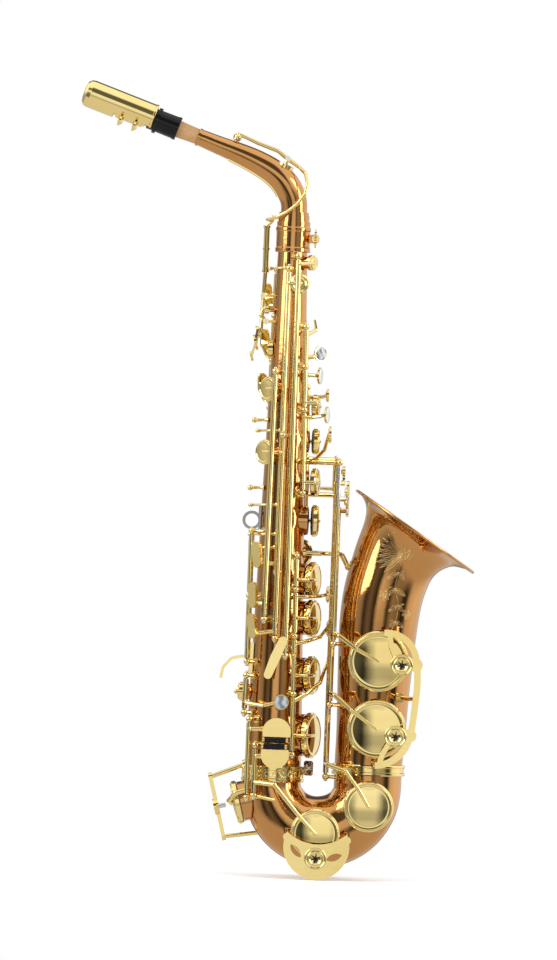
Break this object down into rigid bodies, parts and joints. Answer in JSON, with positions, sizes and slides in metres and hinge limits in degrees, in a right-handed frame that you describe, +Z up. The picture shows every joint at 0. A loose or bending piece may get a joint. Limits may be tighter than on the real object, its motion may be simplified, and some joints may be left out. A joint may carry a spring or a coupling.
{
  "type": "alto saxophone",
  "caption": "Conical brass woodwind with an upturned bell, a curved neck with capped mouthpiece, and hinged key work with padded cups.",
  "frame": {"origin": "centre of the strap ring on the player's side of the body tube", "axes": "+Z runs up the axis of the body tube, +X points from the player to the bell, -Y is the player's right-hand side"},
  "size_m": [0.3499, 0.123, 0.6717],
  "materials": {
    "copper_lacquer": "cognac-brown gloss lacquer over brass",
    "gold_lacquer": "clear gold gloss lacquer over brass",
    "bright_steel": "polished and nickel plated",
    "ebonite": "polished black hard rubber",
    "cork": "sanded natural cork",
    "cane": "bare cane",
    "felt": "black felt on a brass stud"
  },
  "bodies": {
    "horn": {"body_tube": "copper_lacquer", "bow": "copper_lacquer", "bell": "copper_lacquer", "bell_rim": "copper_lacquer", "body_bow_ferrule": "gold_lacquer", "bell_bow_ferrule": "gold_lacquer", "bell_brace": "gold_lacquer", "neck_receiver": "gold_lacquer", "strap_ring": "bright_steel", "thumb_hook": "gold_lacquer", "thumb_rest": "gold_lacquer", "key_posts": "gold_lacquer", "pinky_frame": "gold_lacquer", "side_sleeves": "gold_lacquer", "pivot_rods": "bright_steel", "bell_key_guard": "gold_lacquer", "low_c_guard": "gold_lacquer", "eflat_guard": "gold_lacquer", "guard_bumpers": "felt"},
    "neck": {"neck_tube": "copper_lacquer", "neck_cork": "cork", "neck_brace": "gold_lacquer", "octave_saddle": "gold_lacquer", "octave_screw": "bright_steel"},
    "neck_octave_key": {"neck_octave_key": "gold_lacquer"},
    "mouthpiece": {"mouthpiece": "ebonite", "reed": "cane", "ligature": "gold_lacquer"},
    "ligature_screw_near": {"ligature_screw_near": "gold_lacquer"},
    "ligature_screw_far": {"ligature_screw_far": "gold_lacquer"},
    "mouthpiece_cap": {"mouthpiece_cap": "gold_lacquer"},
    "neck_screw": {"neck_screw": "bright_steel"},
    "octave_thumb_lever": {"octave_thumb_lever": "gold_lacquer"},
    "body_octave_key": {"body_octave_key": "gold_lacquer"},
    "fsharp_key": {"fsharp_key": "gold_lacquer"},
    "f_key": {"f_key": "gold_lacquer"},
    "e_key": {"e_key": "gold_lacquer"},
    "d_key": {"d_key": "gold_lacquer"},
    "g_key": {"g_key": "gold_lacquer"},
    "a_key": {"a_key": "gold_lacquer"},
    "bis_key": {"bis_key": "gold_lacquer"},
    "b_key": {"b_key": "gold_lacquer"},
    "high_e_key": {"high_e_key": "gold_lacquer"},
    "side_c_key": {"side_c_key": "gold_lacquer"},
    "side_bflat_key": {"side_bflat_key": "gold_lacquer"},
    "high_fsharp_key": {"high_fsharp_key": "gold_lacquer"},
    "trill_key": {"trill_key": "gold_lacquer"},
    "high_d_key": {"high_d_key": "gold_lacquer"},
    "high_eflat_key": {"high_eflat_key": "gold_lacquer"},
    "high_f_key": {"high_f_key": "gold_lacquer"},
    "low_bflat_key": {"low_bflat_key": "gold_lacquer"},
    "low_b_key": {"low_b_key": "gold_lacquer"},
    "low_csharp_key": {"low_csharp_key": "gold_lacquer"},
    "low_c_key": {"low_c_key": "gold_lacquer"},
    "eflat_key": {"eflat_key": "gold_lacquer"},
    "front_f_key": {"front_f_key": "gold_lacquer"},
    "gsharp_key": {"gsharp_key": "gold_lacquer"},
    "gsharp_lever": {"gsharp_lever": "gold_lacquer"}
  },
  "joints": [
    {"name": "fsharp_key_hinge", "type": "hinge", "parent": "horn", "child": "fsharp_key", "pos_m": [0.03978, -0.02387, -0.0543], "axis": [-0.0133, 0.023, 0.9996], "range_deg": [0, 6.86]},
    {"name": "f_key_hinge", "type": "hinge", "parent": "horn", "child": "f_key", "pos_m": [0.04031, -0.02478, -0.094], "axis": [-0.0133, 0.023, 0.9996], "range_deg": [0, 6.76], "stiffness_Nm_per_rad": 0.04, "springref_deg": -34.38},
    {"name": "e_key_hinge", "type": "hinge", "parent": "horn", "child": "e_key", "pos_m": [0.04096, -0.02591, -0.143], "axis": [-0.0133, 0.023, 0.9996], "range_deg": [0, 6.36], "stiffness_Nm_per_rad": 0.04, "springref_deg": -34.38},
    {"name": "d_key_hinge", "type": "hinge", "parent": "horn", "child": "d_key", "pos_m": [0.04164, -0.02708, -0.1943], "axis": [-0.0133, 0.023, 0.9996], "range_deg": [0, 6.18], "stiffness_Nm_per_rad": 0.04, "springref_deg": -34.38},
    {"name": "g_key_hinge", "type": "hinge", "parent": "horn", "child": "g_key", "pos_m": [0.0455, 0.01756, -0.0043], "axis": [-0.0197, -0.0177, 0.9996], "range_deg": [-7.39, 0], "stiffness_Nm_per_rad": 0.04, "springref_deg": 34.38},
    {"name": "a_key_hinge", "type": "hinge", "parent": "horn", "child": "a_key", "pos_m": [0.04232, -0.01945, 0.0277], "axis": [-0.017, 0.0203, 0.9996], "range_deg": [0, 7.34], "stiffness_Nm_per_rad": 0.04, "springref_deg": -34.38},
    {"name": "bis_key_hinge", "type": "hinge", "parent": "horn", "child": "bis_key", "pos_m": [0.04425, 0.01643, 0.059], "axis": [-0.0197, -0.0177, 0.9996], "range_deg": [-7.87, 0], "stiffness_Nm_per_rad": 0.04, "springref_deg": 34.38},
    {"name": "b_key_hinge", "type": "hinge", "parent": "horn", "child": "b_key", "pos_m": [0.04111, -0.01801, 0.0985], "axis": [-0.017, 0.0203, 0.9996], "range_deg": [0, 7.64], "stiffness_Nm_per_rad": 0.04, "springref_deg": -34.38},
    {"name": "high_e_key_hinge", "type": "hinge", "parent": "horn", "child": "high_e_key", "pos_m": [0.02269, -0.02699, -0.0403], "axis": [0.0032, 0.0263, 0.9996], "range_deg": [-13.38, 0], "stiffness_Nm_per_rad": 0.04, "springref_deg": 34.38},
    {"name": "side_c_key_hinge", "type": "hinge", "parent": "horn", "child": "side_c_key", "pos_m": [0.01356, -0.03828, -0.0803], "axis": [0.0082, 0.0252, 0.9996], "range_deg": [0, 8.18], "stiffness_Nm_per_rad": 0.04, "springref_deg": -34.38},
    {"name": "side_bflat_key_hinge", "type": "hinge", "parent": "horn", "child": "side_bflat_key", "pos_m": [0.02351, -0.03559, -0.0963], "axis": [0.0018, 0.0264, 0.9996], "range_deg": [0, 6.21], "stiffness_Nm_per_rad": 0.04, "springref_deg": -34.38},
    {"name": "high_fsharp_key_hinge", "type": "hinge", "parent": "horn", "child": "high_fsharp_key", "pos_m": [0.03278, -0.03845, -0.1103], "axis": [-0.0046, 0.0261, 0.9996], "range_deg": [-5.44, 0], "stiffness_Nm_per_rad": 0.04, "springref_deg": 34.38},
    {"name": "trill_key_hinge", "type": "hinge", "parent": "horn", "child": "trill_key", "pos_m": [-0.00018, -0.01636, -0.1603], "axis": [0.0225, 0.014, 0.9996], "range_deg": [0, 5.85], "stiffness_Nm_per_rad": 0.04, "springref_deg": -34.38},
    {"name": "high_d_key_hinge", "type": "hinge", "parent": "horn", "child": "high_d_key", "pos_m": [0.01154, 0.0185, 0.0997], "axis": [0.0163, -0.0209, 0.9996], "range_deg": [0, 8.69], "stiffness_Nm_per_rad": 0.04, "springref_deg": -34.38},
    {"name": "high_eflat_key_hinge", "type": "hinge", "parent": "horn", "child": "high_eflat_key", "pos_m": [0.0122, 0.01766, 0.14], "axis": [0.0163, -0.0209, 0.9996], "range_deg": [0, 8.76], "stiffness_Nm_per_rad": 0.04, "springref_deg": -34.38},
    {"name": "high_f_key_hinge", "type": "hinge", "parent": "horn", "child": "high_f_key", "pos_m": [0.01282, 0.01687, 0.178], "axis": [0.0163, -0.0209, 0.9996], "range_deg": [0, 8.64], "stiffness_Nm_per_rad": 0.04, "springref_deg": -34.38},
    {"name": "low_bflat_key_hinge", "type": "hinge", "parent": "horn", "child": "low_bflat_key", "pos_m": [0.073, -0.03, -0.099], "axis": [0, 0, 1], "range_deg": [0, 4.6], "stiffness_Nm_per_rad": 0.04, "springref_deg": -34.38},
    {"name": "low_b_key_hinge", "type": "hinge", "parent": "horn", "child": "low_b_key", "pos_m": [0.072, -0.023, -0.151], "axis": [0, 0, 1], "range_deg": [0, 4.39], "stiffness_Nm_per_rad": 0.04, "springref_deg": -34.38},
    {"name": "low_csharp_key_hinge", "type": "hinge", "parent": "horn", "child": "low_csharp_key", "pos_m": [0.071, -0.016, -0.2123], "axis": [0, 0, 1], "range_deg": [-3.99, 0], "stiffness_Nm_per_rad": 0.04, "springref_deg": 34.38},
    {"name": "low_c_key_hinge", "type": "hinge", "parent": "horn", "child": "low_c_key", "pos_m": [0.0105, -0.0305, -0.2303], "axis": [0, 0, 1], "range_deg": [0, 3.4], "stiffness_Nm_per_rad": 0.04, "springref_deg": -34.38},
    {"name": "eflat_key_hinge", "type": "hinge", "parent": "horn", "child": "eflat_key", "pos_m": [0.0045, -0.025, -0.2323], "axis": [0, 0, 1], "range_deg": [0, 7.1], "stiffness_Nm_per_rad": 0.04, "springref_deg": -34.38},
    {"name": "front_f_key_hinge", "type": "hinge", "parent": "horn", "child": "front_f_key", "pos_m": [0.04049, -0.01726, 0.1353], "axis": [-0.017, 0.0203, 0.9996], "range_deg": [0, 6], "stiffness_Nm_per_rad": 0.04, "springref_deg": -34.38},
    {"name": "gsharp_key_hinge", "type": "hinge", "parent": "horn", "child": "gsharp_key", "pos_m": [0.02694, 0.02702, -0.0343], "axis": [-0.0009, -0.0265, 0.9996], "range_deg": [0, 7.31]},
    {"name": "gsharp_lever_hinge", "type": "hinge", "parent": "horn", "child": "gsharp_lever", "pos_m": [0.07, 0.037, 0.027], "axis": [0, 0, 1], "range_deg": [-5, 0], "stiffness_Nm_per_rad": 0.04, "springref_deg": 34.38},
    {"name": "octave_thumb_hinge", "type": "hinge", "parent": "horn", "child": "octave_thumb_lever", "pos_m": [0.0025, 0, 0.1917], "axis": [0, 1, 0], "range_deg": [-4, 0], "stiffness_Nm_per_rad": 0.04, "springref_deg": 34.38},
    {"name": "body_octave_hinge", "type": "hinge", "parent": "horn", "child": "body_octave_key", "pos_m": [0.0055, 0, 0.1697], "axis": [0, 1, 0], "range_deg": [-12, 0], "stiffness_Nm_per_rad": 0.04, "springref_deg": 34.38},
    {"name": "neck_swivel", "type": "hinge", "parent": "horn", "child": "neck", "pos_m": [0.026, 0, 0.2437], "axis": [0, 0, 1], "range_deg": [-10, 10]},
    {"name": "neck_octave_hinge", "type": "hinge", "parent": "neck", "child": "neck_octave_key", "pos_m": [0.019, 0, 0.3087], "axis": [0, 1, 0], "range_deg": [0, 5]},
    {"name": "neck_screw_turn", "type": "hinge", "parent": "horn", "child": "neck_screw", "pos_m": [0.045, 0, 0.2412], "axis": [0, 1, 0], "range_deg": [-90, 90]},
    {"name": "mouthpiece_slide", "type": "slide", "parent": "neck", "child": "mouthpiece", "axis": [-0.9432, 0, 0.3322], "range_m": [-0.005, 0.012]},
    {"name": "cap_slide", "type": "slide", "parent": "mouthpiece", "child": "mouthpiece_cap", "axis": [-0.9432, 0, 0.3322], "range_m": [0, 0.07]},
    {"name": "ligature_screw_near_turn", "type": "hinge", "parent": "mouthpiece", "child": "ligature_screw_near", "pos_m": [-0.11311, 0, 0.33096], "axis": [0, 1, 0], "range_deg": [-90, 90]},
    {"name": "ligature_screw_far_turn", "type": "hinge", "parent": "mouthpiece", "child": "ligature_screw_far", "pos_m": [-0.12538, 0, 0.33528], "axis": [0, 1, 0], "range_deg": [-90, 90]}
  ],
  "couplings": [
    {"joint": "fsharp_key_hinge", "follows": "f_key_hinge", "ratio": 1.0125},
    {"joint": "gsharp_key_hinge", "follows": "gsharp_lever_hinge", "ratio": -1.46},
    {"joint": "neck_octave_hinge", "follows": "octave_thumb_hinge", "ratio": -1.2}
  ]
}
